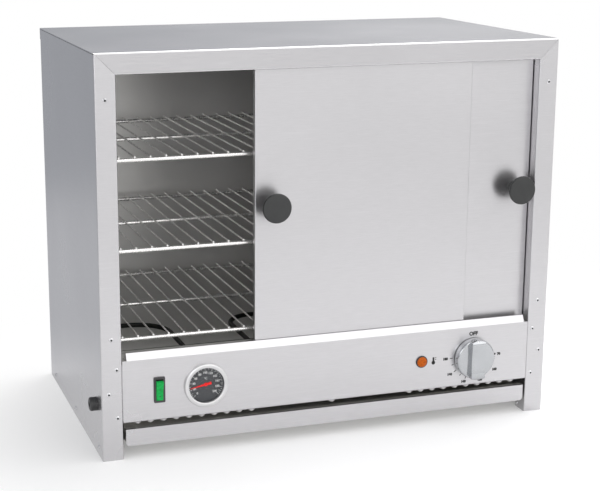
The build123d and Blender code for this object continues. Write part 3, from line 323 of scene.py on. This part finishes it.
def lit_plastic(name, dark, light, glow, strength, cell):
    """Coloured see-through plastic, with facets inside and a small lamp behind it."""
    material, tree, base = shader(name)
    place = node(tree, "ShaderNodeTexCoord")
    facets = node(tree, "ShaderNodeTexVoronoi")
    facets.inputs["Scale"].default_value = cell
    link(tree, place.outputs["Object"], facets.inputs["Vector"])
    marks = node(tree, "ShaderNodeGroup", node_tree=fine_speckle)
    set_inputs(marks, Speckle_Size=500.0, Patch_Size=160.0)
    depth = value_between(tree, facets.outputs["Distance"], 1.0, 0.0)
    link(tree, tone_between(tree, depth, dark, light), base.inputs["Base Color"])
    link(tree, tone_between(tree, depth, dark, glow), base.inputs["Emission Color"])
    link(tree, value_between(tree, marks.outputs["Speckle"], 0.3, 0.4), base.inputs["Roughness"])
    link(tree, bump_from(tree, facets.outputs["Distance"], 0.25, facet_relief), base.inputs["Normal"])
    set_inputs(base, Emission_Strength=strength, Specular_IOR_Level=0.2)
    return material


window_glass = clear_glass()
green_plastic = lit_plastic(
    "green_plastic", (0.004, 0.24, 0.04), (0.010, 0.38, 0.08), (0.01, 0.42, 0.09), 0.3, 260.0,
)
orange_plastic = lit_plastic(
    "orange_plastic", (0.30, 0.055, 0.001), (0.56, 0.115, 0.002), (0.60, 0.11, 0.001), 0.22, 700.0,
)

finishes = {
    side_steel: ("left_side_panel", "right_side_panel"),
    front_steel: ("front_door", "rear_door"),
    panel_steel: ("control_panel",),
    tray_steel: ("crumb_tray",),
    roof_steel: ("top_cover",),
    wall_steel: ("back_panel",),
    folded_steel: (
        "wiring_cover", "lower_door_track", "upper_door_track", "rack_rests", "front_uprights",
        "tray_runners", "element_support", "bulb_clips",
    ),
    rivet_steel: (
        "back_screws", "stile_rivets", "side_rivets", "foot_rivets", "front_knob_screw", "rear_knob_screw",
        "thermostat_screws", "earth_stud", "thermostat_shaft",
    ),
    chrome_wire: ("rack_lower", "rack_middle", "rack_upper"),
    element_black: ("heating_element",),
    brass_plain: ("element_bushes", "element_terminals", "rocker_terminals"),
    knob_black: ("front_door_knob", "rear_door_knob"),
    moulded_black: ("pilot_lamp_body", "thermostat_body", "cord_gland"),
    frame_grey: ("rocker_housing",),
    green_plastic: ("rocker",),
    orange_plastic: ("pilot_lamp_lens",),
    bezel_steel: ("thermometer_bezel", "thermometer_case"),
    window_glass: ("thermometer_glass",),
    dial_grey: ("thermometer_dial",),
    needle_red: ("thermometer_needle",),
    copper_plain: (
        "thermometer_capillary", "thermometer_bulb", "thermostat_capillary", "thermostat_bulb",
    ),
    silver_plastic: ("thermostat_knob",),
    rubber_black: ("capillary_grommet",),
    cream_plastic: ("terminal_block",),
}
for material, names in finishes.items():
    for name in names:
        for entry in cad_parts[name].material_slots:
            entry.material = material


def placed(name, mesh, material, body):
    """Put a finished mesh into the scene with its material, its finish and the body it rides on."""
    mesh.materials.clear()
    mesh.materials.append(material)
    piece = bpy.data.objects.new(name, mesh)
    bpy.context.scene.collection.objects.link(piece)
    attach(piece, body)


def finished(name, bm, material, body="cabinet", smooth=False):
    bmesh.ops.recalc_face_normals(bm, faces=bm.faces)
    mesh = bpy.data.meshes.new(name)
    bm.to_mesh(mesh)
    bm.free()
    for polygon in mesh.polygons:
        polygon.use_smooth = smooth
    placed(name, mesh, material, body)


# Lettering and marks
print_thickness = 0.00006


def lettering(name, words, size, place, material, bold):
    """Generic printed characters, laid on a face that looks to the front."""
    curve = bpy.data.curves.new(name + "_curve", "FONT")
    curve.body = words
    curve.size = size
    curve.align_x = "CENTER"
    curve.align_y = "CENTER"
    curve.extrude = print_thickness / 2
    curve.offset = bold
    curve.resolution_u = 3
    holder = bpy.data.objects.new(name + "_holder", curve)
    bpy.context.scene.collection.objects.link(holder)
    bpy.context.view_layer.update()
    ready = holder.evaluated_get(bpy.context.evaluated_depsgraph_get())
    mesh = bpy.data.meshes.new_from_object(ready)
    bpy.data.objects.remove(holder)
    mesh.name = name
    mesh.transform(Matrix.Translation(place) @ Matrix.Rotation(math.radians(90), 4, "X"))
    placed(name, mesh, material, "cabinet")


def stroke(bm, middle, length, width, turn):
    """Thin printed bar on a face that looks to the front."""
    made = bmesh.ops.create_cube(bm, size=1.0)["verts"]
    bmesh.ops.scale(bm, vec=(length, print_thickness, width), verts=made)
    bmesh.ops.rotate(bm, cent=(0, 0, 0), matrix=Matrix.Rotation(-turn, 3, "Y"), verts=made)
    bmesh.ops.translate(bm, vec=middle, verts=made)


def printed_dot(bm, middle, radius):
    """Flat round printed dot."""
    made = bmesh.ops.create_cone(
        bm, cap_ends=True, segments=20, radius1=radius, radius2=radius, depth=print_thickness
    )["verts"]
    bmesh.ops.rotate(bm, cent=(0, 0, 0), matrix=Matrix.Rotation(math.radians(90), 3, "X"), verts=made)
    bmesh.ops.translate(bm, vec=middle, verts=made)


# Thermometer dial: numbers by twenty, ticks by ten and five, and the unit
dial_centre = spot(-168.9, 1.36, 85.3)
dial_zero = 225.0
dial_sweep = 266.0
dial_full = 200
dial_number_radius = 0.0152
dial_number_size = 0.0038
dial_unit_height = 0.0074
dial_tick_end = 0.0222
dial_tick_width = 0.0005


def dial_way(reading):
    """Angle and direction of a reading, seen from the front."""
    angle = math.radians(dial_zero - dial_sweep * reading / dial_full)
    return angle, Vector((math.cos(angle), 0, math.sin(angle)))


def dial_print():
    size = dial_number_size
    for reading in range(0, dial_full + 1, 20):
        place = dial_centre + dial_way(reading)[1] * dial_number_radius
        name = f"dial_number_{reading}"
        lettering(name, str(reading), size, place, dial_white, bold=0.0001)
    place = dial_centre + Vector((0, 0, dial_unit_height))
    lettering("dial_unit", "°C", size, place, dial_white, bold=0.00006)
    ticks = bmesh.new()
    for reading in range(0, dial_full + 1, 5):
        angle, way = dial_way(reading)
        long = 0.0040 if reading % 20 == 0 else 0.0030 if reading % 10 == 0 else 0.0016
        stroke(ticks, dial_centre + way * (dial_tick_end - long / 2), long, dial_tick_width, angle)
    finished("dial_ticks", ticks, dial_white)


# Print on the panel round the thermostat knob
thermostat_x = 195.2
thermostat_z = 84.3
thermostat_mark_width = 0.0011
thermostat_dots_radius = 32.0
print_depth = -0.05


def thermostat_print():
    """OFF, the numbers and their marks, as places and lengths in drawing millimetres."""
    bold = 0.00040
    place = spot(195.0, print_depth, 116.3)
    lettering("thermostat_off", "OFF", 0.0070, place, print_black, bold=bold)
    for words, x, z in (
        ("70", 232.8, 85.1), ("100", 227.2, 64.3), ("120", 206.5, 52.1), ("140", 182.7, 51.9),
        ("160", 162.4, 63.6), ("180", 155.6, 85.3),
    ):
        place = spot(x, print_depth, z)
        lettering(f"thermostat_{words}", words, 0.0045, place, print_black, bold=bold)
    marks = bmesh.new()
    for x, z, length in (
        (185.6, 57.6, 4.0), (177.6, 61.8, 2.6), (170.2, 67.8, 4.0), (166.3, 76.6, 2.6),
        (164.0, 85.6, 4.0),
    ):
        turn = math.atan2(z - thermostat_z, x - thermostat_x)
        stroke(marks, spot(x, print_depth, z), length / 1000, thermostat_mark_width, turn)
    printed_dot(marks, spot(227.0, print_depth, 85.6), 0.0014)
    finished("thermostat_marks", marks, print_black)
    dots = bmesh.new()
    for step in range(6):
        angle = math.radians(-5 - step * 5)
        x = thermostat_x + thermostat_dots_radius * math.cos(angle)
        z = thermostat_z + thermostat_dots_radius * math.sin(angle)
        printed_dot(dots, spot(x, print_depth, z), 0.0006)
    finished("thermostat_dots", dots, print_grey)


def heat_symbol():
    """Small thermometer symbol beside the lamp, with two steps."""
    symbol_x = 138.6
    step_x = 141.8
    symbol = bmesh.new()
    printed_dot(symbol, spot(symbol_x, print_depth, 82.3), 0.0026)
    stroke(symbol, spot(symbol_x, print_depth, 86.2), 0.0070, 0.0026, math.radians(90))
    for z in (86.6, 89.0):
        stroke(symbol, spot(step_x, print_depth, z), 0.0016, 0.0009, 0)
    finished("heat_symbol", symbol, print_black)


# Painted shade in the blind rivets' holes: near-black stubs inside the ring of each head
rivet_shade_radius = 0.00135
rivet_shade_length = 0.0008
rivet_shade_rounding = 0.0002
stile_rivet_places = ((12.4, 442.3), (13.4, 153.8), (19.2, 115.6), (8.9, 85.2), (19.2, 54.2))
stile_shade_depth = -1.1
side_rivet_depths = (22.3, 167.8, 311.2)
side_rivet_height = 11.0
side_shade_reach = 0.75


def rivet_centres():
    """Painted-shade stubs on both stiles, by inset and height, and low on both sides, by depth."""
    ends = bmesh.new()
    for side in (-1, 1):
        for inset, z in stile_rivet_places:
            rivet_end(ends, spot(side * (half_width - inset), stile_shade_depth, z), "X")
        for depth in side_rivet_depths:
            rivet_end(ends, spot(side * (half_width + side_shade_reach), depth, side_rivet_height), "Y")
    finished("rivet_centres", ends, rivet_hole_shade, smooth=True)


def rivet_end(bm, middle, axis):
    """Short stub with a rounded rim, turned about X to lie along the depth, about Y along the width."""
    radius = rivet_shade_radius
    made = bmesh.ops.create_cone(
        bm, cap_ends=True, segments=16, radius1=radius, radius2=radius, depth=rivet_shade_length
    )["verts"]
    edges = [edge for edge in bm.edges if all(vert in made for vert in edge.verts)]
    rim = [edge for edge in edges if abs(edge.verts[0].co.z - edge.verts[1].co.z) < 1e-6]
    rounded = bmesh.ops.bevel(
        bm, geom=rim, offset=rivet_shade_rounding, segments=2, profile=0.5, affect="EDGES", material=-1
    )["verts"]
    whole = list({*[vert for vert in made if vert.is_valid], *rounded})
    bmesh.ops.rotate(bm, cent=(0, 0, 0), matrix=Matrix.Rotation(math.radians(90), 3, axis), verts=whole)
    bmesh.ops.translate(bm, vec=middle, verts=whole)


# Marks on the rocker, whose key stands pressed in at the bottom, the ON side
rocker_pivot = spot(-228.1, 1.2, 85.3)
rocker_tilt = 10.4
rocker_half = 12.2
rocker_middle = 4.0
rocker_rise = 2.0
rocker_print_lift = 0.04


def rocker_marks():
    """Bar on the pressed half and a small dark pip just above the middle.

    The key's face is 4 mm out from the pivot at the middle and 6 mm out at its two ends.
    """
    tilt = Matrix.Translation(rocker_pivot) @ Matrix.Rotation(math.radians(rocker_tilt), 4, "X")
    lean = Matrix.Rotation(math.atan2(rocker_rise, rocker_half), 4, "X")
    for name, low, length, width in (("rocker_bar", 8.0, 3.6, 1.2), ("rocker_pip", -1.2, 1.2, 1.0)):
        marks = bmesh.new()
        stroke(marks, Vector((0, 0, 0)), length / 1000, width / 1000, math.radians(90))
        depth = -rocker_middle - rocker_rise * abs(low) / rocker_half - rocker_print_lift
        turned = lean if low > 0 else lean.inverted()
        place = tilt @ Matrix.Translation((0, depth / 1000, -low / 1000)) @ turned
        bmesh.ops.transform(marks, matrix=place, verts=marks.verts)
        finished(name, marks, print_black, body="switch_key")


dial_print()
thermostat_print()
heat_symbol()
rivet_centres()
rocker_marks()


# Floor and light
def shiny_or_seen(tree, with_camera=True):
    """One for a glossy or transmission ray, and a camera ray if it counts, otherwise zero."""
    rays = node(tree, "ShaderNodeLightPath")
    shiny = node(tree, "ShaderNodeMath", operation="MAXIMUM")
    link(tree, rays.outputs["Is Glossy Ray"], shiny.inputs[0])
    link(tree, rays.outputs["Is Transmission Ray"], shiny.inputs[1])
    if not with_camera:
        return shiny.outputs[0]
    seen = node(tree, "ShaderNodeMath", operation="MAXIMUM")
    link(tree, rays.outputs["Is Camera Ray"], seen.inputs[0])
    link(tree, shiny.outputs[0], seen.inputs[1])
    return seen.outputs[0]


floor_radius = 1.6
floor_glow = 0.24
floor_fade = (0.55, 1.0)
floor_fade_middle = (0.25, -0.35, 0)
floor_dim = (0.60, 0.61, 0.635)
floor_dim_from = -0.4
floor_dim_to = 0.3


def smooth_step(tree, low, high):
    """Node that goes smoothly from 0 to 1 between two values."""
    step = node(tree, "ShaderNodeMapRange", interpolation_type="SMOOTHSTEP")
    return set_inputs(step, From_Min=low, From_Max=high)


def floor():
    """Pale disc that keeps the shadow near the warmer and fades to plain white further out.

    The steel sees the far part greyer towards the back.
    """
    bm = bmesh.new()
    bmesh.ops.create_circle(bm, cap_ends=True, segments=96, radius=floor_radius)
    mesh = bpy.data.meshes.new("floor")
    bm.to_mesh(mesh)
    bm.free()
    material = bpy.data.materials.new("pale_floor")
    material.use_nodes = True
    tree = material.node_tree
    tree.nodes.remove(tree.nodes["Principled BSDF"])
    diffuse = set_inputs(node(tree, "ShaderNodeBsdfDiffuse"), Color=(0.8, 0.8, 0.8, 1))
    glow = set_inputs(node(tree, "ShaderNodeEmission"), Color=(1, 1, 1, 1))
    level = node(tree, "ShaderNodeMath", operation="MULTIPLY")
    level.inputs[1].default_value = floor_glow
    link(tree, shiny_or_seen(tree), level.inputs[0])
    link(tree, level.outputs[0], glow.inputs["Strength"])
    near = node(tree, "ShaderNodeAddShader")
    link(tree, diffuse.outputs[0], near.inputs[0])
    link(tree, glow.outputs[0], near.inputs[1])
    far = node(tree, "ShaderNodeEmission")
    place = node(tree, "ShaderNodeTexCoord")
    parts = node(tree, "ShaderNodeSeparateXYZ")
    link(tree, place.outputs["Object"], parts.inputs[0])
    behind = smooth_step(tree, floor_dim_from, floor_dim_to)
    link(tree, parts.outputs["Y"], behind.inputs["Value"])
    dimmed = tone_between(tree, behind.outputs["Result"], (1.0, 1.0, 1.0), floor_dim)
    rays = node(tree, "ShaderNodeLightPath")
    plain = node(tree, "ShaderNodeMix", data_type="RGBA")
    plain.inputs[7].default_value = (1, 1, 1, 1)
    link(tree, rays.outputs["Is Camera Ray"], plain.inputs[0])
    link(tree, dimmed, plain.inputs[6])
    link(tree, plain.outputs[2], far.inputs["Color"])
    reach = node(tree, "ShaderNodeVectorMath", operation="DISTANCE")
    reach.inputs[1].default_value = floor_fade_middle
    link(tree, place.outputs["Object"], reach.inputs[0])
    fade = smooth_step(tree, *floor_fade)
    link(tree, reach.outputs["Value"], fade.inputs["Value"])
    both = node(tree, "ShaderNodeMixShader")
    link(tree, fade.outputs["Result"], both.inputs[0])
    link(tree, near.outputs[0], both.inputs[1])
    link(tree, far.outputs[0], both.inputs[2])
    link(tree, both.outputs[0], tree.nodes["Material Output"].inputs["Surface"])
    mesh.materials.append(material)
    piece = bpy.data.objects.new("floor", mesh)
    bpy.context.scene.collection.objects.link(piece)


def soft_box(name, place, aim, size, power):
    data = bpy.data.lights.new(name, "AREA")
    data.shape = "RECTANGLE"
    data.size, data.size_y = size
    data.energy = power
    lamp = bpy.data.objects.new(name, data)
    lamp.location = place
    lamp.rotation_euler = (Vector(aim) - Vector(place)).to_track_quat("-Z", "Y").to_euler()
    bpy.context.scene.collection.objects.link(lamp)


room_ambient = (0.62, 0.62, 0.63, 1)
room_dim = (0.43, 0.445, 0.475)
room_bright = (0.97, 0.97, 0.97)
bright_way = (0.8, -0.5, 0)


def room():
    """White studio that the steel sees dimmer at the back left, as its side and roof show."""
    world = bpy.data.worlds.new("room")
    bpy.context.scene.world = world
    world.use_nodes = True
    tree = world.node_tree
    ambient = tree.nodes["Background"]
    set_inputs(ambient, Color=room_ambient, Strength=0.8)
    place = node(tree, "ShaderNodeTexCoord")
    towards = node(tree, "ShaderNodeVectorMath", operation="DOT_PRODUCT")
    towards.inputs[1].default_value = bright_way
    link(tree, place.outputs["Generated"], towards.inputs[0])
    bright = smooth_step(tree, -0.5, 0.5)
    link(tree, towards.outputs["Value"], bright.inputs["Value"])
    surround = node(tree, "ShaderNodeBackground")
    tone = tone_between(tree, bright.outputs["Result"], room_dim, room_bright)
    link(tree, tone, surround.inputs["Color"])
    white = set_inputs(node(tree, "ShaderNodeBackground"), Color=(1, 1, 1, 1))
    reflected = node(tree, "ShaderNodeMixShader")
    link(tree, shiny_or_seen(tree, with_camera=False), reflected.inputs[0])
    link(tree, ambient.outputs[0], reflected.inputs[1])
    link(tree, surround.outputs[0], reflected.inputs[2])
    rays = node(tree, "ShaderNodeLightPath")
    seen = node(tree, "ShaderNodeMixShader")
    link(tree, rays.outputs["Is Camera Ray"], seen.inputs[0])
    link(tree, reflected.outputs[0], seen.inputs[1])
    link(tree, white.outputs[0], seen.inputs[2])
    link(tree, seen.outputs[0], tree.nodes["World Output"].inputs["Surface"])


floor()
room()
soft_box("key_light", (1.5, -2.5, 2.3), (0, 0, 0.2), (4.4, 3.4), 50)
soft_box("top_light", (0.9, 0.5, 2.7), (0, 0, 0.2), (2.0, 1.6), 50)
soft_box("fill_light", (-1.1, -2.5, 0.8), (0, 0, 0.2), (1.4, 0.8), 10)
soft_box("left_light", (-2.6, -1.2, 1.2), (0, 0, 0.25), (1.6, 1.6), 8)
